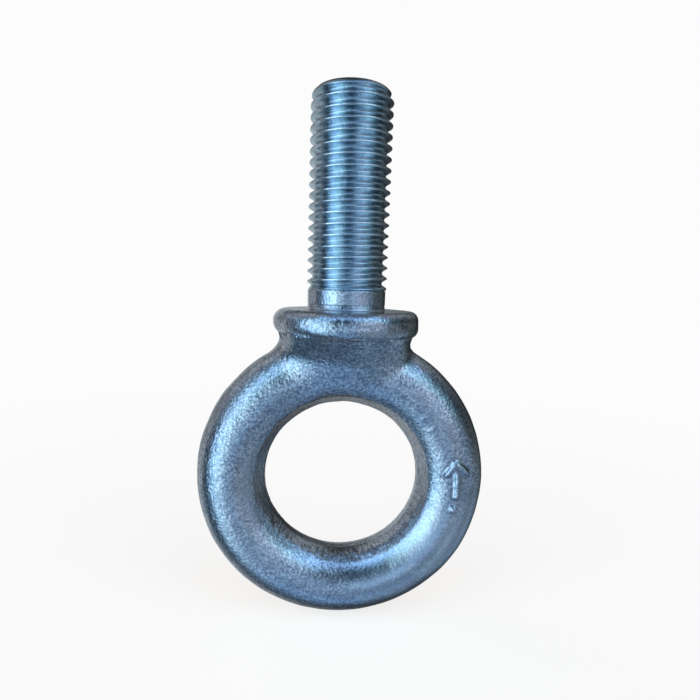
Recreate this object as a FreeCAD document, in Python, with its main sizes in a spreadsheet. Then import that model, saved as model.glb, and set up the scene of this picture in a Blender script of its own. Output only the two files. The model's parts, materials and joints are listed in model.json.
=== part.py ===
import FreeCAD, Part

# Shoulder-pattern machinery eye bolt, 7/8-9 UNC x 2-1/4 in shank.
# One drop forging, modelled as four touching solids: the eye (a ring with a
# short neck), a round shoulder collar, a plain shank base and a right-hand
# threaded shank.
#
# Frame: millimetres, +Z along the shank towards its tip, +Y along the axis of
# the eye, origin on the shank axis in the plane of the shoulder's bearing face.
# A "drop" is a distance from the bearing face towards the eye, along -Z.

import math
import os

import Sketcher

os.makedirs("parts", exist_ok=True)
doc = FreeCAD.newDocument("eye_bolt")
V = FreeCAD.Vector

# ---------------------------------------------------------------- dimensions
SIZES = [
    # ring
    ("ring_drop", 47.6, "bearing face to centre of the eye"),
    ("ring_radius", 31.36, "centre line of the ring section"),
    ("section_radius", 9.5, "round section of the ring, 3/4 in stock"),
    ("land_radius", 21.85, "punched land inside the eye"),
    ("land_half", 1.5, "half of the land's width"),
    ("skirt_radius", 23.3, "crease between skirt and inner wall"),
    ("skirt_half", 3.7, "half thickness of the skirt at the crease"),
    ("wall_top_half", 6.42, "half thickness where the inner wall meets the round section"),
    ("skirt_fillet", 2.0, "fillet in the crease"),
    ("wall_fillet", 3.6, "rounding between inner wall and section"),
    # collar
    ("collar_radius", 20.05, "1-9/16 in shoulder"),
    ("collar_thick", 6.6, "bearing face to the face on the eye side"),
    ("rim_round", 3.0, "rounding of the rim"),
    ("rim_low", 4.1, "drop where the eye-side rounding starts"),
    ("seat_fillet", 0.8, "fillet between shoulder and shank"),
    # shank
    ("shank_radius", 10.65, "plain shank base"),
    ("plain_end", 5.4, "bearing face to the threaded shank"),
    ("shank_length", 57.15, "2-1/4 in, bearing face to tip"),
    ("major_radius", 11.06, "thread crest, 7/8-9 UNC-2A"),
    ("minor_radius", 9.42, "thread root"),
    ("pitch", 2.8222, "nine threads per inch"),
    ("root_round", 0.40, "rounded root"),
    ("mouth_clearance", 0.12, "groove profile beyond the crest"),
    ("groove_start", 7.9, "bearing face to the groove's first section"),
    ("tip_depth", 2.1, "length of the lead-in bevel"),
    ("tip_drop", 1.72, "radial size of the lead-in bevel"),
]

# Elliptical sections of the neck: name, drop, half width (X), half depth (Y).
# The first lies on the collar's eye-side face, so collar_thick is its drop.
NECK_SECTIONS = [
    ("neck_top", None, 18.4, 18.0),
    ("neck_a", 9.0, 18.4, 16.1),
    ("neck_b", 11.5, 19.3, 13.8),
    ("neck_c", 14.5, 21.8, 11.5),
    ("neck_d", 18.0, 21.0, 9.6),
    ("neck_e", 21.0, 17.0, 7.6),
]
for section_name, drop, wide, deep in NECK_SECTIONS:
    if drop is not None:
        SIZES.append((section_name + "_drop", drop, "bearing face to this section"))
    SIZES.append((section_name + "_wide", wide, "half width along X"))
    SIZES.append((section_name + "_deep", deep, "half depth along Y"))

FLANK_ANGLE = math.radians(30.0)  # each thread flank to the groove's mid-plane

sheet = doc.addObject("Spreadsheet::Sheet", "Sizes")
for cell, heading in (("A1", "alias"), ("B1", "value"), ("C1", "note")):
    sheet.set(cell, heading)
for row, (name, value, note) in enumerate(SIZES, start=2):
    sheet.set("A%d" % row, name)
    sheet.set("B%d" % row, str(value))
    sheet.set("C%d" % row, note)
    sheet.setAlias("B%d" % row, name)
doc.recompute()
size = {name: float(sheet.get(name)) for name, _, _ in SIZES}

# ------------------------------------------------------------ sketch helpers
# Sketcher's numbers for the points of a piece and for the sketch's own axes
START, END, CENTRE = 1, 2, 3
X_AXIS, Y_AXIS = -1, -2
ORIGIN = (-1, 1)


def new_body(label):
    body = doc.addObject("PartDesign::Body", label)
    body.Label = label
    return body


def new_sketch(body, name, role, offset=None, offset_formula=None):
    """Sketch on one of the body's origin planes, optionally offset from it."""
    sketch = body.newObject("Sketcher::SketchObject", name)
    plane = next(o for o in body.Origin.OriginFeatures if o.Role == role)
    sketch.AttachmentSupport = [(plane, "")]
    sketch.MapMode = "FlatFace"
    if offset_formula is not None:
        sketch.AttachmentOffset = FreeCAD.Placement(V(0, 0, offset), FreeCAD.Rotation())
        sketch.setExpression("AttachmentOffset.Base.z", offset_formula)
    return sketch


def constrain(sketch, kind, *args):
    return sketch.addConstraint(Sketcher.Constraint(kind, *args))


def square_up(sketch, horizontal, vertical):
    for piece in horizontal:
        constrain(sketch, "Horizontal", piece)
    for piece in vertical:
        constrain(sketch, "Vertical", piece)


def dimension(sketch, kind, args, name, value=None, formula=None):
    """Named driving dimension; without a formula it follows the size of its name."""
    if formula is None:
        value, formula = size[name], "Sizes." + name
    index = constrain(sketch, kind, *args, value)
    sketch.renameConstraint(index, name)
    sketch.setExpression("Constraints." + name, formula)


def add_outline(sketch, points, kinds, smooth=()):
    """Closed chain through points; each kind is "line" or (arc centre, is_ccw).

    smooth lists the pieces whose end meets the next piece tangentially.
    """
    pieces = []
    count = len(points)
    for i, kind in enumerate(kinds):
        (x1, y1), (x2, y2) = points[i], points[(i + 1) % count]
        if kind == "line":
            curve = Part.LineSegment(V(x1, y1, 0), V(x2, y2, 0))
        else:
            (cx, cy), is_ccw = kind
            first = math.atan2(y1 - cy, x1 - cx)
            last = math.atan2(y2 - cy, x2 - cx)
            if not is_ccw:
                first, last = last, first
            if last <= first:
                last += 2 * math.pi
            circle = Part.Circle(V(cx, cy, 0), V(0, 0, 1), math.hypot(x1 - cx, y1 - cy))
            curve = Part.ArcOfCircle(circle, first, last)
        pieces.append(sketch.addGeometry(curve, False))
    # Arcs are stored counter-clockwise, so a clockwise one is met end first.
    for i in range(count):
        j = (i + 1) % count
        end = END if kinds[i] == "line" or kinds[i][1] else START
        start = START if kinds[j] == "line" or kinds[j][1] else END
        meeting = "Tangent" if i in smooth else "Coincident"
        constrain(sketch, meeting, pieces[i], end, pieces[j], start)
    return pieces


def check_sketch(sketch):
    if sketch.solve() != 0 or "Invalid" in sketch.State:
        raise RuntimeError("sketch not solved: " + sketch.Name)


# ----------------------------------------------------------- feature helpers
def finish(feature):
    doc.recompute()
    if "Invalid" in feature.State or "Error" in feature.State:
        raise RuntimeError("failed feature: %s %s" % (feature.Name, feature.State))
    if feature.Shape.isNull() or not feature.Shape.isValid():
        raise RuntimeError("bad shape: " + feature.Name)


def revolve(body, sketch, name):
    """Full turn about the sketch's vertical axis."""
    turned = body.newObject("PartDesign::Revolution", name)
    turned.Profile = sketch
    turned.ReferenceAxis = (sketch, ["V_Axis"])
    turned.Angle = 360.0
    finish(turned)
    return turned


def fillet_circles(body, name, base, circle_radius, half_height, fillet_size):
    """Fillet the pair of circles at +/- half_height along the eye's Y axis."""
    tolerance = 0.02
    fillet = body.newObject("PartDesign::Fillet", name)
    edges = [
        "Edge%d" % i for i, edge in enumerate(base.Shape.Edges, start=1)
        if isinstance(edge.Curve, Part.Circle)
        and abs(edge.Curve.Radius - circle_radius) < tolerance
        and abs(abs(edge.Curve.Center.y) - half_height) < tolerance
    ]
    fillet.Base = (base, edges)
    fillet.Radius = size[fillet_size]
    fillet.setExpression("Radius", "Sizes." + fillet_size)
    finish(fillet)
    return fillet


# ---------------------------------------------------- eye: ring plus the neck
def add_ring(body):
    """Round section with a flat inner wall, a thin skirt and a narrow land."""
    ring_radius, section_radius = size["ring_radius"], size["section_radius"]
    land_radius, land_half = size["land_radius"], size["land_half"]
    skirt_radius, skirt_half = size["skirt_radius"], size["skirt_half"]
    wall_half = size["wall_top_half"]
    wall_radius = ring_radius - math.sqrt(section_radius ** 2 - wall_half ** 2)

    sketch = new_sketch(body, "ring_profile", "XY_Plane")
    points = [
        (land_radius, -land_half),
        (land_radius, land_half),
        (skirt_radius, skirt_half),
        (wall_radius, wall_half),
        (wall_radius, -wall_half),
        (skirt_radius, -skirt_half),
    ]
    kinds = ["line", "line", "line", ((ring_radius, 0.0), False), "line", "line"]
    land, skirt_up, wall_up, section, wall_down, skirt_down = add_outline(sketch, points, kinds)
    constrain(sketch, "PointOnObject", section, CENTRE, X_AXIS)
    constrain(sketch, "Symmetric", land, START, land, END, X_AXIS)
    constrain(sketch, "Symmetric", skirt_up, END, skirt_down, START, X_AXIS)
    for kind, args, name in (
        ("DistanceX", (*ORIGIN, section, CENTRE), "ring_radius"),
        ("Radius", (section,), "section_radius"),
        ("DistanceX", (*ORIGIN, land, END), "land_radius"),
        ("DistanceY", (*ORIGIN, land, END), "land_half"),
        ("DistanceX", (*ORIGIN, skirt_up, END), "skirt_radius"),
        ("DistanceY", (*ORIGIN, skirt_up, END), "skirt_half"),
        ("DistanceY", (*ORIGIN, wall_up, END), "wall_top_half"),
    ):
        dimension(sketch, kind, args, name)
    dimension(sketch, "DistanceY", (wall_down, START, *ORIGIN), "wall_low_half",
              wall_half, "Sizes.wall_top_half")
    check_sketch(sketch)

    ring = revolve(body, sketch, "ring")
    crease = fillet_circles(body, "skirt_crease", ring, skirt_radius, skirt_half, "skirt_fillet")
    fillet_circles(body, "wall_rounding", crease, wall_radius, wall_half, "wall_fillet")


def neck_ellipse(body, name, drop_alias):
    """Ellipse across the shank axis at its drop from the bearing face."""
    sketch = new_sketch(body, name, "XY_Plane", size["ring_drop"] - size[drop_alias],
                        "Sizes.ring_drop - Sizes." + drop_alias)
    wide, deep = size[name + "_wide"], size[name + "_deep"]
    ellipse = sketch.addGeometry(Part.Ellipse(V(wide, 0, 0), V(0, deep, 0), V(0, 0, 0)), False)
    sketch.exposeInternalGeometry(ellipse)
    # The exposed axes follow the ellipse in the sketch's numbering.
    major_axis, minor_axis = ellipse + 1, ellipse + 2
    constrain(sketch, "Coincident", ellipse, CENTRE, *ORIGIN)
    constrain(sketch, "Horizontal", major_axis)
    dimension(sketch, "Distance", (major_axis,), "wide", 2 * wide, "2 * Sizes.%s_wide" % name)
    dimension(sketch, "Distance", (minor_axis,), "deep", 2 * deep, "2 * Sizes.%s_deep" % name)
    check_sketch(sketch)
    return sketch


def make_eye():
    """Built about the centre of the eye, then moved to its place on the bolt."""
    body = new_body("eye")
    add_ring(body)
    sections = [
        neck_ellipse(body, name, "collar_thick" if drop is None else name + "_drop")
        for name, drop, _, _ in NECK_SECTIONS
    ]
    neck = body.newObject("PartDesign::AdditiveLoft", "neck")
    neck.Profile = sections[0]
    neck.Sections = sections[1:]
    neck.Ruled = False
    neck.Closed = False
    finish(neck)
    body.Placement = FreeCAD.Placement(V(0, 0, -size["ring_drop"]), FreeCAD.Rotation())
    body.setExpression("Placement.Base.z", "-Sizes.ring_drop")
    return body


# --------------------------------------------------------- collar (shoulder)
def make_collar():
    """Disc with a rounded rim and a short filleted boss on its bearing face."""
    radius, thick = size["collar_radius"], size["collar_thick"]
    rim_round, rim_low = size["rim_round"], size["rim_low"]
    shank_radius, fillet = size["shank_radius"], size["seat_fillet"]
    round_x = radius - rim_round
    # The eye-side rounding is cut short by the collar's flat face.
    low_reach = math.sqrt(rim_round ** 2 - (thick - rim_low) ** 2)

    body = new_body("collar")
    sketch = new_sketch(body, "collar_profile", "XZ_Plane")
    points = [
        (0.0, -thick),
        (round_x + low_reach, -thick),
        (radius, -rim_low),
        (radius, -rim_round),
        (round_x, 0.0),
        (shank_radius + fillet, 0.0),
        (shank_radius, fillet),
        (0.0, fillet),
    ]
    kinds = [
        "line", ((round_x, -rim_low), True), "line", ((round_x, -rim_round), True),
        "line", ((shank_radius + fillet, fillet), False), "line", "line",
    ]
    pieces = add_outline(sketch, points, kinds, smooth=(1, 2, 3, 4))
    eye_face, low_arc, rim, seat_arc, seat, fillet_arc, cap, axis_line = pieces
    square_up(sketch, horizontal=(eye_face, seat, cap), vertical=(rim, axis_line))
    constrain(sketch, "PointOnObject", eye_face, START, Y_AXIS)
    constrain(sketch, "PointOnObject", seat, START, X_AXIS)
    constrain(sketch, "Equal", low_arc, seat_arc)
    for kind, args, name in (
        ("Radius", (seat_arc,), "rim_round"),
        ("Radius", (fillet_arc,), "seat_fillet"),
        ("DistanceX", (*ORIGIN, rim, END), "collar_radius"),
        ("DistanceY", (rim, START, *ORIGIN), "rim_low"),
        ("DistanceY", (eye_face, START, *ORIGIN), "collar_thick"),
        ("DistanceX", (*ORIGIN, cap, START), "shank_radius"),
    ):
        dimension(sketch, kind, args, name)
    dimension(sketch, "DistanceY", (*ORIGIN, cap, START), "boss_height",
              fillet, "Sizes.seat_fillet")
    check_sketch(sketch)
    revolve(body, sketch, "collar_turned")
    return body


# ---------------------------------------------------- plain base of the shank
def make_plain_shank():
    """Cylinder from the collar's boss to the threaded shank."""
    body = new_body("plain_shank")
    sketch = new_sketch(body, "plain_circle", "XY_Plane",
                        size["seat_fillet"], "Sizes.seat_fillet")
    circle = sketch.addGeometry(
        Part.Circle(V(0, 0, 0), V(0, 0, 1), size["shank_radius"]), False)
    constrain(sketch, "Coincident", circle, CENTRE, *ORIGIN)
    dimension(sketch, "Radius", (circle,), "shank_radius")
    check_sketch(sketch)
    pad = body.newObject("PartDesign::Pad", "plain_pad")
    pad.Profile = sketch
    pad.Length = size["plain_end"] - size["seat_fillet"]
    pad.setExpression("Length", "Sizes.plain_end - Sizes.seat_fillet")
    finish(pad)
    return body


# ------------------------------------------------------------- threaded shank
def add_blank(body):
    """Crest-size bar with a 45 degree step at its base and a bevelled tip."""
    shank_radius, major_radius = size["shank_radius"], size["major_radius"]
    plain_end, length = size["plain_end"], size["shank_length"]
    step_height = major_radius - shank_radius

    sketch = new_sketch(body, "blank_profile", "YZ_Plane")
    points = [
        (0.0, plain_end),
        (shank_radius, plain_end),
        (major_radius, plain_end + step_height),
        (major_radius, length - size["tip_depth"]),
        (major_radius - size["tip_drop"], length),
        (0.0, length),
    ]
    base, _, side, _, face, axis_line = add_outline(sketch, points, ["line"] * 6)
    square_up(sketch, horizontal=(base, face), vertical=(side, axis_line))
    constrain(sketch, "PointOnObject", base, START, Y_AXIS)
    dimension(sketch, "DistanceY", (*ORIGIN, base, START), "plain_end")
    dimension(sketch, "DistanceX", (*ORIGIN, base, END), "shank_radius")
    dimension(sketch, "DistanceX", (*ORIGIN, side, START), "major_radius")
    dimension(sketch, "DistanceY", (base, END, side, START), "step_up",
              step_height, "Sizes.major_radius - Sizes.shank_radius")
    dimension(sketch, "DistanceY", (*ORIGIN, face, START), "shank_length")
    dimension(sketch, "DistanceY", (side, END, face, START), "tip_depth")
    dimension(sketch, "DistanceX", (face, START, side, END), "tip_drop")
    check_sketch(sketch)
    revolve(body, sketch, "blank")


def cut_thread(body):
    """Round-rooted groove swept up a right-hand helix and past the tip."""
    root_round, start_z = size["root_round"], size["groove_start"]
    root_centre = size["minor_radius"] + root_round
    # The arc of the root ends where the flanks are tangent to it.
    tangent_x = root_centre - root_round * math.sin(FLANK_ANGLE)
    tangent_half = root_round * math.cos(FLANK_ANGLE)
    mouth_x = size["major_radius"] + size["mouth_clearance"]
    mouth_half = tangent_half + (mouth_x - tangent_x) * math.tan(FLANK_ANGLE)

    sketch = new_sketch(body, "groove_profile", "XZ_Plane")
    points = [
        (mouth_x, start_z + mouth_half),
        (tangent_x, start_z + tangent_half),
        (tangent_x, start_z - tangent_half),
        (mouth_x, start_z - mouth_half),
    ]
    kinds = ["line", ((root_centre, start_z), True), "line", "line"]
    flank_up, root, flank_down, mouth = add_outline(sketch, points, kinds, smooth=(0, 1))
    constrain(sketch, "Vertical", mouth)
    constrain(sketch, "Equal", flank_up, flank_down)
    dimension(sketch, "Radius", (root,), "root_round")
    dimension(sketch, "DistanceX", (*ORIGIN, root, CENTRE), "root_centre",
              root_centre, "Sizes.minor_radius + Sizes.root_round")
    dimension(sketch, "DistanceY", (*ORIGIN, root, CENTRE), "groove_start")
    dimension(sketch, "DistanceX", (*ORIGIN, mouth, START), "mouth_radius",
              mouth_x, "Sizes.major_radius + Sizes.mouth_clearance")
    dimension(sketch, "DistanceY", (root, END, root, START), "root_chord",
              2 * tangent_half, "2 * Sizes.root_round * cos(30 deg)")
    check_sketch(sketch)

    groove = body.newObject("PartDesign::SubtractiveHelix", "thread_groove")
    groove.Profile = sketch
    groove.ReferenceAxis = (sketch, ["V_Axis"])
    groove.Mode = "pitch-height-angle"
    groove.Pitch = size["pitch"]
    groove.Height = size["shank_length"] - start_z + size["pitch"]
    groove.setExpression("Pitch", "Sizes.pitch")
    groove.setExpression("Height", "Sizes.shank_length - Sizes.groove_start + Sizes.pitch")
    groove.LeftHanded = False
    groove.Reversed = False
    finish(groove)


def check_thread(shape):
    """A quarter turn counter-clockwise about +Z climbs a quarter of the pitch."""
    probe_radius = size["major_radius"] - 0.6
    for quarter in range(4):
        angle = quarter * math.pi / 2
        x, y = probe_radius * math.cos(angle), probe_radius * math.sin(angle)
        for turn in (1, 8, 15):
            root_z = size["groove_start"] + (turn + quarter / 4.0) * size["pitch"]
            ridge_z = root_z + size["pitch"] / 2
            if (shape.isInside(V(x, y, root_z), 1e-4, True)
                    or not shape.isInside(V(x, y, ridge_z), 1e-4, True)):
                raise RuntimeError("thread is wrong at quarter %d turn %d" % (quarter, turn))


def make_threaded_shank():
    body = new_body("threaded_shank")
    add_blank(body)
    cut_thread(body)
    return body


# ----------------------------------------------------- build, check and write
bodies = [make_eye(), make_collar(), make_plain_shank(), make_threaded_shank()]
doc.recompute()

for obj in doc.Objects:
    if "Invalid" in obj.State or "Error" in obj.State:
        raise RuntimeError("failed object: " + obj.Name)
for body in bodies:
    if body.Shape.isNull() or not body.Shape.isValid() or len(body.Shape.Solids) != 1:
        raise RuntimeError("bad part: " + body.Label)
check_thread(bodies[-1].Shape)
# The solids may touch but not overlap.
for i, body in enumerate(bodies):
    for other in bodies[i + 1:]:
        overlap = body.Shape.common(other.Shape).Volume
        if overlap > 0.01:
            raise RuntimeError("%s overlaps %s by %.3f mm3" % (body.Label, other.Label, overlap))
for body in bodies:
    body.Shape.exportStep("parts/" + body.Label + ".step")
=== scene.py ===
"""Looks of a forged, zinc-plated shoulder eye bolt.

Frame: metres, +Z along the shank towards its tip, +Y along the axis of the eye.  The seat of
the collar is at z = 0, the eye hangs below it, and the front is towards -Y.
The geometry below is in millimetres and is scaled once, when a mesh is made.
"""
import itertools
import json
import math
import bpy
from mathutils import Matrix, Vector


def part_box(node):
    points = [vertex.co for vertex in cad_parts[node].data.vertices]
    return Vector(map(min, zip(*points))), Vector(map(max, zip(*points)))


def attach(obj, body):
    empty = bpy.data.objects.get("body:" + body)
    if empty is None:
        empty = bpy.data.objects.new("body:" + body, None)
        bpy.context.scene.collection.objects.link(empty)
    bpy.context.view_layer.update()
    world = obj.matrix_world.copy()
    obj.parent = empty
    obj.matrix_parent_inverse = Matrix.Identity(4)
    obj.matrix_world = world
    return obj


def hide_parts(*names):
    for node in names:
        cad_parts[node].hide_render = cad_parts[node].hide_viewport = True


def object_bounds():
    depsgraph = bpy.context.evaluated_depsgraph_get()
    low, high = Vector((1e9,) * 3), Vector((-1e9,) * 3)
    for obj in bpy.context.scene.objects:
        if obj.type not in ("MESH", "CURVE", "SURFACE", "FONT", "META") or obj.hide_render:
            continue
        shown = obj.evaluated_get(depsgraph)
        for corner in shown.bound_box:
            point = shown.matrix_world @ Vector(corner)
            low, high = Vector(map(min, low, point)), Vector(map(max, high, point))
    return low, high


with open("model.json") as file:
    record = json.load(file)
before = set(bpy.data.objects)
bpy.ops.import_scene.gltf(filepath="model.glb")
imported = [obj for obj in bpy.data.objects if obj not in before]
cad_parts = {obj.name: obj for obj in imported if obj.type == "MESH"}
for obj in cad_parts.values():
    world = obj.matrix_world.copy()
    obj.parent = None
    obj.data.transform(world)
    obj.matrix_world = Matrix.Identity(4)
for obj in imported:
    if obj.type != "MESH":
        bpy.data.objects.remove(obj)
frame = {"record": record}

from types import SimpleNamespace

import bmesh
import bpy
import numpy as np
from mathutils import Matrix, Vector

MM = 0.001
scene = bpy.context.scene
cad_lo, cad_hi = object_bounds()


# ------------------------------------------------------------ driving dimensions, mm
def node_box(name):
    low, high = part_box(name)
    return np.array(low) / MM, np.array(high) / MM


def radius_along_x(name):
    low, high = node_box(name)
    return (high[0] - low[0]) / 2


EYE_BORE = {mount["name"]: mount for mount in frame["record"]["mounts"]}["eye_bore"]
EYE_Z = EYE_BORE["pos_m"][2] / MM                # height of the eye's centre
LAND_R = EYE_BORE["dims"]["r_mm"]                # punched land inside the eye
SECTION_R = 9.5                                  # round section of the ring
RING_R = radius_along_x("eye") - SECTION_R       # centre line of the ring
RING_STEPS = 540

COLLAR_R = radius_along_x("collar")
COLLAR_BOTTOM = -7.15
COLLAR_STEPS = 420
COLLAR_OUTLINE_POINTS = 84
NECK_CAP_Z = COLLAR_BOTTOM + 1.5                 # the neck ends flat, hidden in the collar

PLAIN_R = radius_along_x("plain_shank")
PLAIN_TOP = node_box("plain_shank")[1][2]
PLAIN_STEPS = 360
PLAIN_OUTLINE_POINTS = 40

TIP_Z = node_box("threaded_shank")[1][2]
THREAD_FOOT = PLAIN_TOP - 0.08                   # the thread starts just inside the plain base
THREAD_STEPS = 230
MAJOR_R = 11.06
MINOR_R = 9.42
ROOT_R = MINOR_R + 0.12
PITCH = 25.4 / 9.0                               # nine threads to the inch
CREST_Z = 8.78                                   # a crest at angle 0
FIRST_TURN = -3                                  # rows start this many turns from that crest

# ------------------------------------------------------------------- seeded 3-D noise
_random = np.random.RandomState(7)
GRADIENTS = _random.normal(size=(256, 3))
GRADIENTS /= np.linalg.norm(GRADIENTS, axis=1, keepdims=True)


def hash_cells(cells, seed):
    """A number from 0 to 255 for each whole-numbered place (..., 3)."""
    x, y, z = np.moveaxis(cells.astype(np.uint64), -1, 0)
    mixed = ((x * np.uint64(73856093)) ^ (y * np.uint64(19349663)) ^ (z * np.uint64(83492791))
             ^ np.uint64(seed * 2654435761 % (1 << 32)))
    low_bits = np.uint64(0xFFFFFFFF)
    mixed &= low_bits
    mixed ^= mixed >> np.uint64(15)
    mixed = (mixed * np.uint64(2246822519)) & low_bits
    mixed ^= mixed >> np.uint64(13)
    mixed = (mixed * np.uint64(3266489917)) & low_bits
    mixed ^= mixed >> np.uint64(16)
    return (mixed & np.uint64(255)).astype(np.int64)


def noise(points, wavelength, seed):
    """Gradient noise, about -1..1, of points (..., 3); the wavelength is in mm."""
    scaled = points / wavelength + 1000.0
    cells = np.floor(scaled)
    inside = scaled - cells
    cells = cells.astype(np.int64)
    fade = inside ** 3 * (inside * (inside * 6 - 15) + 10)
    total = np.zeros(points.shape[:-1])
    for corner in itertools.product((0, 1), repeat=3):
        weight = np.prod(np.where(corner, fade, 1 - fade), axis=-1)
        gradient = GRADIENTS[hash_cells(cells + corner, seed)]
        total += weight * ((inside - corner) * gradient).sum(-1)
    return total * 1.7


def noise_sum(points, *layers):
    """Sum of noises; each layer is (amount, wavelength, seed)."""
    return sum(amount * noise(points, wavelength, seed) for amount, wavelength, seed in layers)


# ------------------------------------------------------------------------ plain maths
def smoothstep(start, end, x):
    """0 at start, 1 at end, level at both; start may be the larger."""
    t = np.clip((x - start) / (end - start), 0, 1)
    return t * t * (3 - 2 * t)


def bell(x, centre, width, power=2):
    """1 at the centre, falling to 1/e one width away; a higher power is flatter on top."""
    return np.exp(-((x - centre) / width) ** power)


def blend(a, b, weight):
    return a * (1 - weight) + b * weight


def smooth_min(a, b, reach):
    """Minimum whose corner is rounded wherever a and b are within reach."""
    overlap = np.maximum(reach - np.abs(a - b), 0) / reach
    return np.minimum(a, b) - overlap * overlap * reach * 0.25


def smooth_table(x, xs, ys):
    """Monotone cubic through a table."""
    step = np.diff(xs)
    slope = np.diff(ys) / step
    before, after = slope[:-1], slope[1:]
    tangent = np.empty(len(xs))
    tangent[0], tangent[-1] = slope[0], slope[-1]
    tangent[1:-1] = np.where(before * after > 0, 2 * before * after / (before + after + 1e-12), 0)
    x = np.clip(x, xs[0], xs[-1])
    i = np.clip(np.searchsorted(xs, x) - 1, 0, len(step) - 1)
    t = (x - xs[i]) / step[i]
    return ((2 * t ** 3 - 3 * t ** 2 + 1) * ys[i] + (t ** 3 - 2 * t ** 2 + t) * step[i] * tangent[i]
            + (-2 * t ** 3 + 3 * t ** 2) * ys[i + 1] + (t ** 3 - t ** 2) * step[i] * tangent[i + 1])


def distance_to(points, place):
    return np.sqrt(((points - np.array(place)) ** 2).sum(-1))


def segment_distance(x, y, start, end):
    """Distance in the plane from (x, y) to a straight stroke."""
    along = np.array(end, float) - np.array(start, float)
    t = ((x - start[0]) * along[0] + (y - start[1]) * along[1]) / (along @ along)
    t = np.clip(t, 0, 1)
    return np.hypot(x - start[0] - t * along[0], y - start[1] - t * along[1])


# ---------------------------------------------------------------------------- outlines
def path_lengths(line):
    """Length along a polyline at each of its points."""
    steps = np.linalg.norm(np.diff(line, axis=0), axis=1)
    return np.concatenate([[0], np.cumsum(steps)])


def points_at(line, lengths, places):
    return np.stack([np.interp(places, lengths, column) for column in line.T], 1)


def evenly_spaced(line, count):
    lengths = path_lengths(line)
    return points_at(line, lengths, np.linspace(0, lengths[-1], count))


def resample(line, spacing_of):
    """Points along an open polyline; spacing_of(points) gives the wanted step."""
    lengths = path_lengths(line)
    fine = np.linspace(0, lengths[-1], 6000)
    fine_points = points_at(line, lengths, fine)
    density = 1.0 / spacing_of(fine_points)
    steps = (density[1:] + density[:-1]) / 2 * np.diff(fine)
    passed = np.concatenate([[0], np.cumsum(steps)])
    count = int(round(passed[-1]))
    places = np.interp(np.linspace(0, passed[-1], count + 1), passed, fine)
    return points_at(fine_points, fine, places)


def round_corners(points, trims, steps):
    """Open polyline with each inner corner cut back by its trim and turned into a curve."""
    points = np.asarray(points, float)
    rounded = [points[0]]
    for before, corner, after, trim in zip(points, points[1:], points[2:], trims):
        start = corner + (before - corner) / np.linalg.norm(before - corner) * trim
        end = corner + (after - corner) / np.linalg.norm(after - corner) * trim
        for t in np.linspace(0, 1, steps):
            rounded.append((1 - t) ** 2 * start + 2 * t * (1 - t) * corner + t * t * end)
    rounded.append(points[-1])
    return np.array(rounded)


def arc(centre, radius, start, end, count):
    """Points (r, z) along an arc between two angles in degrees."""
    angles = np.radians(np.linspace(start, end, count))
    return np.array(centre) + radius * np.stack([np.cos(angles), np.sin(angles)], 1)


# ----------------------------------------------------------------------------- meshes
def full_turn(count):
    return np.arange(count) / count * 2 * math.pi


def round_z(radius, angle, z):
    """Points (..., 3) from cylindrical coordinates that broadcast together."""
    radius, angle, z = np.broadcast_arrays(radius, angle, z)
    return np.stack([radius * np.cos(angle), radius * np.sin(angle), z], -1)


def grid_normals(points, columns_closed):
    """Unit normals, rows x columns, of a grid whose rows close on themselves."""
    def central(axis):
        return np.roll(points, -1, axis) - np.roll(points, 1, axis)
    across = central(1) if columns_closed else np.gradient(points, axis=1)
    normals = np.cross(central(0), across)
    return normals / np.maximum(np.linalg.norm(normals, axis=2, keepdims=True), 1e-9)


def grid_faces(rows, columns, columns_closed):
    i, j = np.meshgrid(np.arange(rows), np.arange(columns if columns_closed else columns - 1),
                       indexing="ij")
    next_i, next_j = (i + 1) % rows, (j + 1) % columns
    corners = [i * columns + j, next_i * columns + j, next_i * columns + next_j, i * columns + next_j]
    return np.stack(corners, -1).reshape(-1, 4)


def shade_smooth(mesh):
    mesh.polygons.foreach_set("use_smooth", np.ones(len(mesh.polygons), bool))


def make_object(name, vertices, faces):
    mesh = bpy.data.meshes.new(name)
    mesh.from_pydata((vertices * MM).tolist(), [], faces)
    mesh.validate(clean_customdata=False)
    mesh.update()
    ob = bpy.data.objects.new(name, mesh)
    scene.collection.objects.link(ob)
    shade_smooth(mesh)
    return ob


def capped_tube(name, points, low_z, high_z):
    """Tube from a grid (round, up, 3), closed by two fans; returns the object and vertices."""
    rows, columns = points.shape[:2]
    centres = [[0, 0, low_z], [0, 0, high_z]]
    vertices = np.concatenate([points.reshape(-1, 3), centres])
    low_centre = rows * columns
    faces = grid_faces(rows, columns, columns_closed=False).tolist()
    for i in range(rows):
        here = i * columns
        beyond = (i + 1) % rows * columns
        faces.append([beyond, here, low_centre])
        faces.append([here + columns - 1, beyond + columns - 1, low_centre + 1])
    return make_object(name, vertices, faces), vertices


def set_attributes(ob, **fields):
    """Float attributes: a number fills the mesh, a grid leaves any cap centres at 0."""
    for name, values in fields.items():
        full = np.zeros(len(ob.data.vertices), np.float32)
        if np.ndim(values) == 0:
            full[:] = values
        else:
            full[:np.size(values)] = np.ravel(values)
        ob.data.attributes.new(name, "FLOAT", "POINT").data.foreach_set("value", full)


def patches(points, spots):
    """Soft patches; each spot is x, y, z, radius, weight."""
    total = sum(weight * bell(distance_to(points, (x, y, z)), 0, radius)
                for x, y, z, radius, weight in spots)
    return np.clip(total, 0, 1)


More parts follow.
